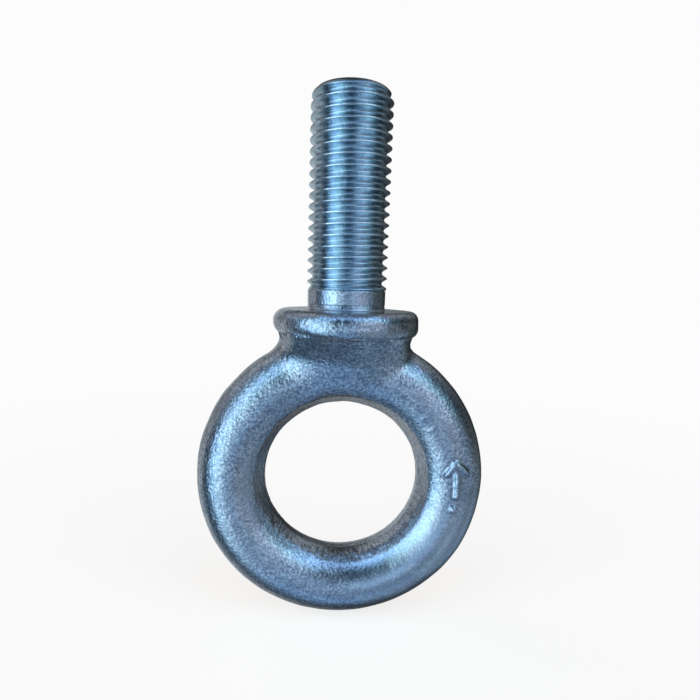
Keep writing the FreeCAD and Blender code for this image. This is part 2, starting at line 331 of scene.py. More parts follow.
def forged_relief(points):
    """Height in mm of the as-forged skin: undulation, pits of pressed-in scale, low bumps."""
    height = noise_sum(points, (0.16, 24.0, 3), (0.085, 9.0, 5), (0.040, 4.2, 9),
                       (0.017, 2.1, 13), (0.010, 1.0, 17))
    pits = noise_sum(points, (1, 3.1, 23), (0.45, 1.5, 29))
    bumps = noise_sum(points, (1, 2.7, 31), (0.4, 1.3, 37))
    height -= 0.075 * smoothstep(0.60, 1.05, pits)
    return height + 0.04 * smoothstep(0.60, 1.05, bumps)


# ------------------------------------- the forging as distances, negative inside, in mm
# z, half width along X, half depth along Y
NECK = np.array([
    (-24.0, 12.6, 5.0), (-21.0, 15.0, 7.3), (-18.5, 16.8, 9.1),
    (-16.0, 17.7, 10.7), (-13.5, 18.0, 12.4), (-11.0, 18.05, 14.3),
    (-9.0, 18.05, 16.0), (-7.0, 18.1, 17.7), (-3.0, 18.1, 21.1)])
NECK_TOP = -3.6
NECK_SQUARENESS = 2.25                           # 2 would be an ellipse


def ring_distance(points):
    x, y, z = points.T
    return np.hypot(np.hypot(x, z - EYE_Z) - RING_R, y) - SECTION_R


def neck_distance(points):
    x, y, z = points.T
    width = smooth_table(z, NECK[:, 0], NECK[:, 1])
    depth = smooth_table(z, NECK[:, 0], NECK[:, 2])
    power = NECK_SQUARENESS
    across, through = np.abs(x) / width, np.abs(y) / depth
    level = (across ** power + through ** power + 1e-12) ** (1 / power)
    gradient = np.sqrt((across / level) ** (2 * power - 2) / width ** 2
                       + (through / level) ** (2 * power - 2) / depth ** 2 + 1e-12)
    return np.maximum(np.maximum((level - 1) / gradient, NECK[0, 0] - z), z - NECK_TOP)


def rim_radius(angle):
    """Rounding of the collar's rim: larger on the -X side than on the +X side."""
    return 2.95 - 0.45 * np.cos(angle)


def collar_distance(points):
    x, y, z = points.T
    rim = rim_radius(np.arctan2(y, x))
    half = -COLLAR_BOTTOM / 2
    out = np.hypot(x, y) - (COLLAR_R - rim)
    up = np.abs(z + half) - (half - rim)
    corner = np.hypot(np.maximum(out, 0), np.maximum(up, 0))
    return corner + np.minimum(np.maximum(out, up), 0) - rim


def forging_distance(points):
    # the fillet between ring and neck is tighter on the +X side
    fillet = 3.2 - 1.0 * np.tanh(points[:, 0] / 6.0)
    body = smooth_min(ring_distance(points), neck_distance(points), fillet)
    # the collar is its own mesh: here it only rounds out the crease below the rim
    return smooth_min(body, collar_distance(points) + 0.20, 1.15)


# ----------------------------------------------------------------- eye: ring and neck
def half_section():
    """Half of the ring's section: u outwards from its centre, v along the eye's axis."""
    outer = arc((0, 0), SECTION_R, 0, 137.5, 220)
    land_u = LAND_R - RING_R
    crease, lip, land = (23.00 - RING_R, 3.75), (land_u, 1.55), (land_u, 0.0)
    wall = round_corners([outer[-1], crease, lip, land], trims=[2.0, 0.45], steps=7)
    outline = np.concatenate([outer, wall[1:]])
    lengths = path_lengths(outline)
    brow = lengths[len(outer) - 1]
    fine = np.linspace(0, lengths[-1], 4000)
    sharp = points_at(outline, lengths, fine)

    # soften the brow where the arc turns into the steep inner wall
    pad = 80
    kernel = np.hanning(2 * pad + 1)
    kernel /= kernel.sum()
    before = np.stack([np.full(pad, sharp[0, 0]), -sharp[pad:0:-1, 1]], 1)
    padded = np.concatenate([before, sharp, np.repeat(sharp[-1:], pad, axis=0)])
    soft = np.stack([np.convolve(column, kernel, "valid") for column in padded.T], 1)
    return blend(sharp, soft, bell(fine, brow, width=1.2, power=4)[:, None])


def section_step(points):
    """Wanted spacing: fine on the inner land, finest where the neck runs up to the collar."""
    u, v = points.T
    step = blend(0.50, 0.245, smoothstep(-5.6, -7.2, u))
    tilt = np.degrees(np.arctan2(np.abs(v), u))
    return blend(step, 0.17, bell(tilt, centre=62.0, width=9.0, power=4))


def eye_grid():
    """Coordinates of the grid round the ring (rows) and round its section (columns)."""
    half = half_section()
    mirrored = (half * (1, -1))[::-1]
    # a closed loop whose first point is the outermost
    section = resample(np.concatenate([half, mirrored[1:]]), section_step)[:-1]
    turn = (np.arange(RING_STEPS) + 0.5) / RING_STEPS * 2 * math.pi
    angle, column = np.meshgrid(turn, np.arange(len(section)), indexing="ij")
    u, v = section[column, 0], section[column, 1]
    tilt = np.arctan2(v, u)
    radial = np.stack([np.cos(angle), np.zeros_like(angle), np.sin(angle)], -1)
    axial = np.array([0, 1.0, 0])
    return SimpleNamespace(
        angle=angle, u=u, v=v, tilt=tilt, radial=radial,
        centre=radial * RING_R + np.array([0, 0, EYE_Z]),
        outward=radial * np.cos(tilt)[..., None] + axial * np.sin(tilt)[..., None],
        land=smoothstep(-7.0, -7.5, u),
        low=smoothstep(-0.05, -0.55, np.sin(angle)))         # 1 at the bottom of the eye


def section_reach(grid):
    """Distance of each point from the section's centre, before the neck is added."""
    reach = np.hypot(grid.u, grid.v)
    # the land and its crease wander a little, as a trimmed edge does
    reach -= grid.land * noise_sum(grid.radial * 25.0, (0.16, 11.0, 41), (0.07, 3.2, 43))
    # towards the bottom of the eye the skirt swells back to the round of the ring
    skirt = (grid.u < -6.2) * (np.abs(grid.v) > 1.7)
    swell = 0.85 * smoothstep(0.0, -0.55, np.sin(grid.angle)) * skirt
    return reach + swell * np.maximum(9.47 - reach, 0)


def march_to_neck(grid, reach):
    """Move the upper part of the ring outwards to the blended neck, up to the flat cap."""
    height, side = np.sin(grid.angle), np.cos(grid.tilt)
    zone = (height > 0.52) & (side > -0.80)
    centre, outward = grid.centre[zone], grid.outward[zone]
    start = reach[zone]
    end = start.copy()
    for _ in range(70):
        gap = -forging_distance(centre + outward * end[:, None])
        end += np.clip(gap, 0, 1.2) * 0.8
    base, rise = centre[:, 2], outward[:, 2]
    at_cap = (NECK_CAP_Z - base) / np.maximum(rise, 1e-6)
    over = (base + rise * end > NECK_CAP_Z) & (rise > 0)
    end = np.where(over, np.maximum(at_cap, 0.5), end)
    # ease in, so that the blend leaves the plain ring without a step
    ease = smoothstep(0.52, 0.60, height[zone]) * smoothstep(-0.80, -0.55, side[zone])
    reach[zone] = start + (end - start) * ease


def land_relief(grid, points):
    """Shear marks, the ragged crease and torn tongues inside the eye."""
    zero = np.zeros_like(grid.angle)
    arc_length = grid.angle * LAND_R
    streaks = noise_sum(np.stack([arc_length, zero, zero], -1), (1, 1.25, 47), (0.6, 0.62, 53))
    patchy = 0.6 + 0.6 * noise(points, 9.0, 59)
    height = grid.land * 0.055 * streaks * patchy
    # ragged edge along the crease between skirt and wall, weaker at the bottom
    edge = bell(grid.u, centre=-8.9, width=0.35)
    fading = 1 - 0.6 * smoothstep(0.2, -0.6, np.sin(grid.angle))
    height += edge * 0.10 * noise(points, 1.6, 61) * fading
    # at the bottom of the eye, short tongues across the front half of the band
    band = bell(grid.u + 0.55 * noise(points, 2.4, 63), centre=-8.35, width=0.75) * (grid.v < 0)
    tongues = noise_sum(np.stack([arc_length, zero, 0.35 * grid.v], -1),
                        (1, 1.15, 65), (0.7, 0.68, 66))
    return height + grid.low * band * 0.17 * tongues


def ring_relief(grid, points):
    """Streaks along the ring where the dies wiped the metal, and a faint outer ridge."""
    along = RING_R / 3.6                         # stretches the streaks round the ring
    stretched = np.stack([np.cos(grid.angle) * along, np.sin(grid.angle) * along,
                          grid.tilt * SECTION_R], -1)
    streaks = noise_sum(stretched, (1, 1.25, 171), (0.5, 0.7, 173))
    wiped = smoothstep(-0.2, 0.5, noise(points, 17.0, 179) - 0.35 * np.cos(grid.angle))
    ridge = bell(grid.v, centre=0, width=1.15, power=4) * (grid.u > 0)
    return (0.022 * streaks * wiped * (1 - grid.land)
            + ridge * (0.10 + 0.08 * noise(points, 7.0, 67)))


# x, z, half length, depth, side (-1 front, +1 back)
FOLDS = [
    (3.2, -10.6, 3.2, 0.16, -1), (6.6, -9.6, 2.0, 0.13, -1), (-1.5, -12.1, 1.8, 0.08, -1),
    (-4.0, -11.0, 3.6, 0.15, 1), (2.5, -9.9, 2.4, 0.10, 1)]


def fold_relief(points, normals):
    """Shallow folds on the neck under the collar."""
    x, y, z = np.moveaxis(points, -1, 0)
    wander = 0.25 * noise(points, 2.6, 71)
    height = np.zeros_like(x)
    for fold_x, fold_z, half_length, depth, side in FOLDS:
        near = (y * side > 0) & (np.abs(x - fold_x) < half_length * 2) & (normals[..., 2] < 0.9)
        groove = bell(z, fold_z + wander, width=0.34) * bell(x, fold_x, half_length, power=4)
        height -= depth * groove * near
    return height


ARROW_ANGLE = 0.012                              # radians round the ring from +X
ARROW_OFFSET = 0.4                               # outwards from the ring's centre line
ARROW_TIP = 6.6
# start and end of each stroke: along the ring towards the shank, outwards across it
ARROW_STROKES = [((-3.0, 0), (6.4, 0)), ((ARROW_TIP, 0), (3.4, 2.9)), ((ARROW_TIP, 0), (3.4, -2.9))]
MARK_HEIGHT = 0.74


def mark_relief(points):
    """Raised arrow, with a dot behind it, on the front of the ring at +X."""
    x, y, z = np.moveaxis(points, -1, 0)
    along = (np.arctan2(z - EYE_Z, x) - ARROW_ANGLE) * RING_R
    across = np.arctan2(np.hypot(x, z - EYE_Z) - RING_R, -y) * SECTION_R - ARROW_OFFSET
    arrow = np.minimum.reduce([segment_distance(along, across, start, end)
                               for start, end in ARROW_STROKES])
    arrow = arrow - 0.12 * noise(points, 1.4, 73)
    dot = np.hypot(along + ARROW_TIP, across) - 0.9
    near = (y < -2.0) & (np.abs(along) < 12) & (np.abs(across) < 7)
    raised = np.maximum(1 - smoothstep(0.30, 0.90, arrow), 1 - smoothstep(-0.35, 0.40, dot))
    moat = 0.15 * bell(arrow, centre=1.25, width=0.40)
    return near * (MARK_HEIGHT * raised - moat)


ROUND_DENT = (22.74, -9.0, -29.87)               # on the front of the ring, +X side
DEEP_PIT = (-26.3, -8.9, -39.5)                  # on the front of the ring, -X side


def spot_relief(points):
    """A flat-bottomed dent and a small pit, each with a raised lip."""
    from_dent = distance_to(points, ROUND_DENT)
    from_pit = distance_to(points, DEEP_PIT)
    return (-0.10 * bell(from_dent, 0, width=1.60, power=6)
            + 0.085 * bell(from_dent, centre=1.95, width=0.32)
            - 0.26 * bell(from_pit, 0, width=0.75)
            + 0.05 * bell(from_pit, centre=1.25, width=0.4))


# first the smooth, die-polished patches of the ring, which the material lightens as a partly painted
# sheen, then the warmer patches
# x, y, z, radius, weight
EYE_SMOOTH_SHEEN_SPOTS = [
    (20, -7, -72, 11, 1.0), (27, -8, -63, 9, 0.8), (10, -7, -77, 8, 0.6),
    (-8, 7, -76, 14, 0.7), (28, 8, -40, 12, 0.6)]
EYE_WARM_SPOTS = [
    (-24.5, -7.5, -48, 6.5, 0.9), (-24, -7, -40, 5, 0.6), (26, -9, -33, 5, 0.7),
    (20, -10, -22, 5, 0.6), (33, -8, -60, 6, 0.6), (-30, 6, -62, 12, 0.8), (14, 8, -20, 10, 0.7)]


def build_eye():
    grid = eye_grid()
    reach = section_reach(grid)
    march_to_neck(grid, reach)
    points = grid.centre + grid.outward * reach[..., None]
    # rows x columns points into the metal, so normals and faces are both reversed
    normals = -grid_normals(points, columns_closed=True)

    height = forged_relief(points) * (1 - 0.45 * grid.land) + land_relief(grid, points)
    height += ring_relief(grid, points) * (reach < SECTION_R + 0.6)
    height += fold_relief(points, normals) + mark_relief(points) + spot_relief(points)
    height[points[..., 2] > NECK_CAP_Z - 0.02] = 0
    vertices = (points + normals * height[..., None]).reshape(-1, 3)
    faces = grid_faces(*height.shape, columns_closed=True)[:, ::-1]
    eye = make_object("eye_ring_and_neck", vertices, faces.tolist())

    # at the bottom of the eye only the middle of the band shows as land
    middle = smoothstep(2.5, 1.8, np.abs(grid.v) + 0.35 * noise(points, 1.3, 64))
    mottle = np.clip(0.72 + noise_sum(points, (0.75, 4.5, 191), (0.35, 1.4, 193)), 0.15, 1)
    set_attributes(eye,
                   land=grid.land * blend(1, middle, grid.low) * mottle,
                   relief=height,
                   smooth_skin=patches(vertices, EYE_SMOOTH_SHEEN_SPOTS),
                   warm_skin=patches(vertices, EYE_WARM_SPOTS))
    return eye


# ------------------------------------------------------------------------- the collar
FILLET_R = 0.45                                  # between the seat and the shank
COLLAR_TOP = 0.80                                # end of the outline, inside the plain base
COLLAR_LOW_CAP = COLLAR_BOTTOM + 0.9
COLLAR_WARM_SPOTS = [(8, -17, -6, 6, 0.8), (16, -11, -3, 6, 0.6), (-12, 14, -4, 8, 0.8)]


def collar_outline(angle):
    """(r, z) of the collar at one angle, from under the rim up to the shank."""
    rim = rim_radius(angle)
    outline = np.concatenate([
        [(12.0, COLLAR_LOW_CAP), (14.5, COLLAR_BOTTOM + 0.25), (15.6, COLLAR_BOTTOM)],
        arc((COLLAR_R - rim, COLLAR_BOTTOM + rim), rim, -90, 0, 15),
        arc((COLLAR_R - rim, -rim), rim, 0, 90, 15),
        [(12.3, 0.0)],
        arc((PLAIN_R + FILLET_R, FILLET_R), FILLET_R, -90, -180, 9),
        [(PLAIN_R - 0.03, 0.72), (PLAIN_R - 0.5, COLLAR_TOP)]])
    return evenly_spaced(outline, COLLAR_OUTLINE_POINTS)


def build_collar():
    angles = full_turn(COLLAR_STEPS)
    outlines = np.stack([collar_outline(angle) for angle in angles])
    points = round_z(outlines[..., 0], angles[:, None], outlines[..., 1])
    normals = grid_normals(points, columns_closed=False)
    radius, z = np.hypot(points[..., 0], points[..., 1]), points[..., 2]

    seat = smoothstep(-0.9, -0.15, z) * smoothstep(COLLAR_R - 1.6, COLLAR_R - 3.4, radius)
    height = forged_relief(points) * (1 - 0.8 * seat)
    # rim flattened and smeared here and there by the die
    rim = smoothstep(COLLAR_R - 3.0, COLLAR_R - 0.4, radius)
    height += rim * (0.14 * noise(points * (1, 1, 0.35), 6.5, 79)
                     + 0.085 * noise(points * (1, 1, 0.6), 2.9, 83)
                     + 0.03 * noise(points, 1.3, 85))
    # no relief where the underside meets the neck, nor beside the shank
    height *= np.maximum(smoothstep(12.8, 14.5, radius), z > -2.0)
    height = np.where(radius < 11.6, 0.0, height)
    # fine turned rings on the seat, 0.55 mm apart
    rings = 0.0105 * np.sin(radius * 2 * math.pi / 0.55)
    height += rings * seat * smoothstep(12.0, 13.0, radius)

    collar, vertices = capped_tube("shoulder_collar", points + normals * height[..., None],
                                   low_z=COLLAR_LOW_CAP, high_z=COLLAR_TOP)
    set_attributes(collar, land=seat, relief=height, smooth_skin=seat,
                   warm_skin=patches(vertices, COLLAR_WARM_SPOTS))
    return collar


# ------------------------------------------------------------------- plain shank base
# offset from PLAIN_R, z: a shallow groove near the collar and a soft shoulder on top
PLAIN_OUTLINE = np.array([
    (-0.5, 0.30), (-0.06, 0.42), (0, 0.60), (0.02, 0.95), (-0.12, 1.12),
    (-0.12, 1.24), (0.03, 1.44), (0.04, 2.2), (0.04, 4.3), (0.06, 5.02),
    (0.02, 5.20), (-0.16, 5.34), (-0.7, 5.40)])


def build_plain_shank():
    corners = PLAIN_OUTLINE + (PLAIN_R, 0)
    outline = round_corners(corners, trims=[0.08] * (len(corners) - 2), steps=3)
    outline = evenly_spaced(outline, PLAIN_OUTLINE_POINTS)
    points = round_z(outline[:, 0], full_turn(PLAIN_STEPS)[:, None], outline[:, 1])
    normals = grid_normals(points, columns_closed=False)
    height = noise_sum(points, (0.05, 8.0, 89), (0.022, 2.4, 91), (0.012, 1.1, 97))
    height *= smoothstep(0.4, 1.3, points[..., 2])
    plain, _ = capped_tube("plain_shank_base", points + normals * height[..., None],
                           low_z=PLAIN_OUTLINE[0, 1], high_z=PLAIN_TOP)
    set_attributes(plain, land=0.0, relief=height, smooth_skin=0.35, warm_skin=0.0)
    return plain


# --------------------------------------------------------------------- threaded shank
# Fractions of a pitch from crest to crest, dense at the crest and the root.
THREAD_ROWS = np.array([
    0.0, 0.030, 0.060, 0.085, 0.125, 0.18, 0.24, 0.30, 0.355, 0.405, 0.45,
    0.50, 0.55, 0.595, 0.645, 0.70, 0.76, 0.82, 0.875, 0.915, 0.940, 0.970])


def thread_form(from_crest):
    """Radius at a distance from the crest: narrow worn crest, wide rounded root."""
    half_flat = 0.12
    slope = math.tan(math.radians(60.0))
    flank = MAJOR_R - np.maximum(from_crest - half_flat, 0) * slope
    from_root = PITCH / 2 - from_crest
    flanks_meet = MAJOR_R - (PITCH / 2 - half_flat) * slope
    # the root's curve is tangent to both flanks
    bend = 2 * (ROOT_R - flanks_meet) / slope ** 2
    radius = np.where(from_root < slope * bend, ROOT_R + from_root ** 2 / (2 * bend), flank)
    return smooth_min(radius, MAJOR_R, 0.46)     # roll-over at the edges of the crest


def tip_cone(z, surface):
    """Radius the end is bevelled to: a curved bevel, then a small rounding at the face."""
    depth = np.clip(TIP_Z - z, -0.5, 6.0)
    cone = (8.95 + 2.15 * (1 - np.exp(-depth / 1.35)) + 0.06 * depth
            + 0.06 * noise(surface, 5.0, 127))
    return cone - 0.22 * np.exp(-np.clip(TIP_Z - z, 0, None) / 0.22)


def thread_points():
    """Grid (round, up, 3) whose columns follow the helix, for clean crests and roots."""
    per_turn = len(THREAD_ROWS)
    turns = int(math.ceil((TIP_Z - PLAIN_TOP) / PITCH)) + 3
    row = np.arange(FIRST_TURN * per_turn, (FIRST_TURN + turns + 1) * per_turn)
    fraction = THREAD_ROWS[row % per_turn]
    angle, pitches = np.meshgrid(full_turn(THREAD_STEPS), row // per_turn + fraction,
                                 indexing="ij")
    z = CREST_Z + (pitches + angle / (2 * math.pi)) * PITCH
    surface = round_z(MAJOR_R, angle, z)
    from_crest = np.abs((fraction + 0.5) % 1.0 - 0.5) * PITCH

    radius = thread_form(from_crest)
    # rolled crest: a hair-thin seam along its middle
    seam_depth = 0.055 + 0.05 * np.clip(noise(surface, 2.2, 107), -0.6, 1)
    radius = radius - bell(from_crest, 0, width=0.07) * seam_depth
    crest_wobble = noise_sum(surface, (0.035, 3.5, 101), (0.022, 1.1, 103))
    radius += crest_wobble * bell(from_crest, 0, width=0.35)
    radius += 0.010 * noise(surface, 1.6, 109)
    # run-out: over the last turn the groove rises to the plain band
    band = 10.80 + 0.02 * noise(surface, 3.0, 113)
    radius = band + (radius - band) * smoothstep(4.7, 7.1, z)
    # foot: steps down inside the plain shank base
    foot = PLAIN_R - 0.35
    radius = foot + (radius - foot) * smoothstep(5.36, 5.52, z)
    radius = smooth_min(radius, tip_cone(z, surface), 0.30)
    return round_z(np.maximum(radius, 4.0), angle, z)


def helix_faces(rows, columns):
    """Quads of the helical grid; the last row meets the first a whole turn higher up."""
    index = np.arange(rows * columns).reshape(rows, columns)
    per_turn = len(THREAD_ROWS)
    pairs = [(index[:-1], index[1:]), (index[-1:, :-per_turn], index[:1, per_turn:])]
    quads = [np.stack([a[:, :-1], b[:, :-1], b[:, 1:], a[:, 1:]], -1).reshape(-1, 4)
             for a, b in pairs]
    return np.concatenate(quads).tolist()


def cut_end(bm, z, side):
    """Remove everything beyond height z; side is +1 above it, -1 below it."""
    bmesh.ops.bisect_plane(bm, geom=bm.verts[:] + bm.edges[:] + bm.faces[:], dist=1e-7,
                           plane_co=(0, 0, z * MM), plane_no=(0, 0, side), clear_outer=True)
    loose = [v for v in bm.verts if not v.link_faces]
    bmesh.ops.delete(bm, geom=loose, context="VERTS")


def close_end(bm, z, insets, uneven):
    """Fill the open end at height z and divide its face into rings."""
    rim = [e for e in bm.edges
           if e.is_boundary and max(abs(v.co.z - z * MM) for v in e.verts) < 1e-5]
    filled = bmesh.ops.holes_fill(bm, edges=rim, sides=0)["faces"]
    end_face = max(filled, key=lambda face: face.calc_area())
    for inset in insets:
        bmesh.ops.inset_region(bm, faces=[end_face], thickness=inset * MM,
                               use_even_offset=True, use_boundary=True)
        if uneven:
            for v in end_face.verts:
                ripple = abs(math.sin(3.1 * math.atan2(v.co.y, v.co.x) + inset))
                v.co.z = (z - 0.015 - 0.03 * ripple) * MM
    bmesh.ops.poke(bm, faces=[end_face])


def build_thread():
    points = thread_points()
    thread = make_object("threaded_shank_rolled", points.reshape(-1, 3),
                         helix_faces(*points.shape[:2]))
    mesh = thread.data
    bm = bmesh.new()
    bm.from_mesh(mesh)
    cut_end(bm, TIP_Z, side=1)
    cut_end(bm, THREAD_FOOT, side=-1)
    bmesh.ops.remove_doubles(bm, verts=bm.verts[:], dist=1e-6)
    close_end(bm, TIP_Z, insets=(0.12, 0.35, 0.9, 1.8, 2.6), uneven=True)
    close_end(bm, THREAD_FOOT, insets=(0.5, 3.0), uneven=False)
    bmesh.ops.recalc_face_normals(bm, faces=bm.faces[:])
    bm.to_mesh(mesh)
    bm.free()
    mesh.update()
    shade_smooth(mesh)

    places = np.zeros(len(mesh.vertices) * 3, np.float32)
    mesh.vertices.foreach_get("co", places)
    x, y, z = places.reshape(-1, 3).T / MM
    # 0 at the root, 1 at the crest
    crest = np.clip((np.hypot(x, y) - MINOR_R) / (MAJOR_R - 0.10 - MINOR_R), 0, 1)
    # the crest mask also drives the thread's bright crest tone, which is partly a painted highlight
    set_attributes(thread, land=crest * (z > 7.0), relief=0.0)
    return thread


# ---------------------------------------------------------------------- shader helpers
class Shader:
    """Builds a node tree; any input may be a number, a colour, a vector or a socket."""

    def __init__(self, owner):
        owner.use_nodes = True
        self.tree = owner.node_tree
        self.tree.nodes.clear()

    def add(self, kind, inputs=None, **properties):
        node = self.tree.nodes.new("ShaderNode" + kind)
        for name, value in properties.items():
            setattr(node, name, value)
        for key, value in (inputs or {}).items():
            socket = node.inputs[key]
            if isinstance(value, bpy.types.NodeSocket):
                self.tree.links.new(value, socket)
            elif socket.type == "RGBA":
                socket.default_value = (*value, 1)
            else:
                socket.default_value = value
        return node

    def shader(self, kind, *sockets, **inputs):
        """A shader node: sockets in order for mixers, otherwise inputs by name."""
        return self.add(kind, {**dict(enumerate(sockets)), **inputs}).outputs[0]

    def math(self, operation, *values, clamp=False):
        return self.add("Math", dict(enumerate(values)), operation=operation,
                        use_clamp=clamp).outputs[0]

    def mix(self, factor, a, b):
        """Colour mix; a Mix node keeps its colour sockets at these indices."""
        return self.add("Mix", {0: factor, 6: a, 7: b}, data_type="RGBA").outputs[2]

    def ramp(self, value, *stops):
        """Grey ramp; each stop is (position, level)."""
        node = self.add("ValToRGB", {0: value})
        elements = node.color_ramp.elements
        while len(elements) < len(stops):
            elements.new(0.5)
        for element, (position, level) in zip(elements, stops):
            element.position = position
            element.color = (level, level, level, 1)
        return node.outputs[0]

    def noise(self, vector, scale, detail, roughness):
        return self.add("TexNoise", {"Vector": vector, "Scale": scale, "Detail": detail,
                                     "Roughness": roughness}).outputs["Fac"]

    def attribute(self, name):
        return self.add("Attribute", attribute_name=name).outputs["Fac"]

    def bump(self, height, strength, distance):
        return self.add("Bump", {"Height": height, "Strength": strength,
                                 "Distance": distance}).outputs[0]

    def metal(self, colour, roughness, normal):
        surface = self.add("BsdfPrincipled", {
            "Base Color": colour, "Metallic": 1.0, "Roughness": roughness, "Normal": normal})
        self.add("OutputMaterial", {0: surface.outputs[0]})


# --------------------------------------------------------------------------- materials
def forged_zinc():
    """Blue-bright zinc over a blasted, as-forged skin."""
    material = bpy.data.materials.new("zinc_on_forging")
    s = Shader(material)
    place = s.add("TexCoord").outputs["Object"]
    land = s.attribute("land")
    relief = s.attribute("relief")
    smooth_skin = s.attribute("smooth_skin")
    warm_skin = s.attribute("warm_skin")

    grain = s.noise(place, scale=1350.0, detail=5.0, roughness=0.80)     # about 0.8 mm
    shot = s.noise(place, scale=1300.0, detail=1.6, roughness=0.55)      # relief of blasting
    speck = s.noise(place, scale=3000.0, detail=2.0, roughness=0.6)
    cloud = s.noise(place, scale=190.0, detail=3.0, roughness=0.55)      # about 5 mm
    broad = s.noise(place, scale=55.0, detail=2.0, roughness=0.5)

    # grain from dark blue to white, then clouds, broad patches, warm spots, and smooth spots whose
    # lighter tone is partly a painted sheen
    grain = s.ramp(grain, (0.39, 0), (0.50, 0.45), (0.61, 1))
    colour = s.mix(grain, a=(0.17, 0.21, 0.27), b=(1.0, 1.0, 1.0))
    cloud = s.ramp(cloud, (0.35, 0), (0.68, 1))
    colour = s.mix(s.math("MULTIPLY", cloud, 0.44), colour, b=(0.36, 0.42, 0.50))
    broad = s.ramp(broad, (0.40, 0), (0.66, 1))
    colour = s.mix(s.math("MULTIPLY", broad, 0.24), colour, b=(0.62, 0.59, 0.59))
    colour = s.mix(s.math("MULTIPLY", warm_skin, 0.45), colour, b=(0.60, 0.56, 0.54))
    # smooth, die-polished spots: less grain, and a lighter tone that partly paints in the sheen of
    # their highlight
    colour = s.mix(s.math("MULTIPLY", smooth_skin, 0.55), colour, b=(0.80, 0.84, 0.88))
    # pits deeper than about 0.11 mm hold darker plating
    pit = s.math("MULTIPLY", relief, -8.0)
    pit = s.math("SUBTRACT", pit, 0.9, clamp=True)
    colour = s.mix(s.math("MULTIPLY", pit, 0.5), colour, b=(0.26, 0.27, 0.29))
    # the punched land is a duller, warmer grey
    colour = s.mix(s.math("MULTIPLY", land, 0.50), colour, b=(0.47, 0.46, 0.47))

    # rough skin looks smoother when seen edge on
    edge_on = s.add("LayerWeight", {"Blend": 0.5}).outputs["Facing"]
    edge_on = s.math("MULTIPLY", s.math("POWER", edge_on, 3.0), -0.10)
    # roughness from 0.09 up, more on specks and broad patches
    roughness = s.math("ADD", s.math("MULTIPLY", speck, 0.20), 0.09)
    roughness = s.math("ADD", roughness, s.math("MULTIPLY", broad, 0.06))
    roughness = s.math("ADD", roughness, edge_on)

    # blasting and a little speck, weaker where the die polished the skin
    fine = s.math("ADD", shot, s.math("MULTIPLY", speck, 0.12))
    kept = s.math("SUBTRACT", 1.0, s.math("MULTIPLY", smooth_skin, 0.62))
    normal = s.bump(s.math("MULTIPLY", fine, kept), strength=0.68, distance=0.00020)
    s.metal(colour, roughness, normal)
    return material


def rolled_zinc():
    """Blue-bright zinc over a smooth rolled thread."""
    material = bpy.data.materials.new("zinc_on_thread")
    s = Shader(material)
    place = s.add("TexCoord").outputs["Object"]
    crest = s.attribute("land")
    mottle = s.noise(place, scale=330.0, detail=4.0, roughness=0.6)
    fine = s.noise(place, scale=1900.0, detail=3.0, roughness=0.6)
    # draw marks run round the shank, so their noise is squeezed along it
    squeezed = s.add("Mapping", {"Vector": place, "Scale": (1, 1, 9)}).outputs[0]
    draw_marks = s.noise(squeezed, scale=420.0, detail=2.0, roughness=0.5)

    blotches = s.ramp(mottle, (0.33, 0), (0.66, 1))
    colour = s.mix(blotches, a=(0.42, 0.52, 0.58), b=(0.66, 0.77, 0.82))
    dark = s.ramp(fine, (0.45, 0), (0.75, 1))
    colour = s.mix(s.math("MULTIPLY", dark, 0.40), colour, b=(0.27, 0.32, 0.37))
    # crests are rubbed to bare bright zinc, and this bright tone also paints a thin highlight along
    # each crest
    rubbed_crest_glint = s.ramp(crest, (0.92, 0), (0.985, 1))
    colour = s.mix(s.math("MULTIPLY", rubbed_crest_glint, 0.8), colour, b=(0.95, 0.94, 0.92))

    # roughness from 0.05 up
    roughness = s.math("ADD", s.math("MULTIPLY", mottle, 0.14), 0.05)
    height = s.math("ADD", s.math("MULTIPLY", fine, 0.6), s.math("MULTIPLY", draw_marks, 0.8))
    s.metal(colour, roughness, s.bump(height, strength=0.34, distance=0.00018))
    return material


# ---------------------------------------------------------------------------- assembly
eye = build_eye()
collar = build_collar()
plain = build_plain_shank()
thread = build_thread()
forged = forged_zinc()
rolled = rolled_zinc()
for ob, material, slot, cad_node in (
        (eye, forged, "forged_zinc", "eye"),
        (collar, forged, "forged_zinc", "collar"),
        (plain, forged, "forged_zinc", "plain_shank"),
        (thread, rolled, "rolled_zinc", "threaded_shank")):
    ob.data.materials.append(material)
    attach(ob, "root")
    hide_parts(cad_node)

# -------------------------------------------------------------------------- the studio
BACKDROP = (0.974, 0.974, 0.974)                 # near white, as a camera sees it
BASE_LIGHT = (0.004, 0.005, 0.007)
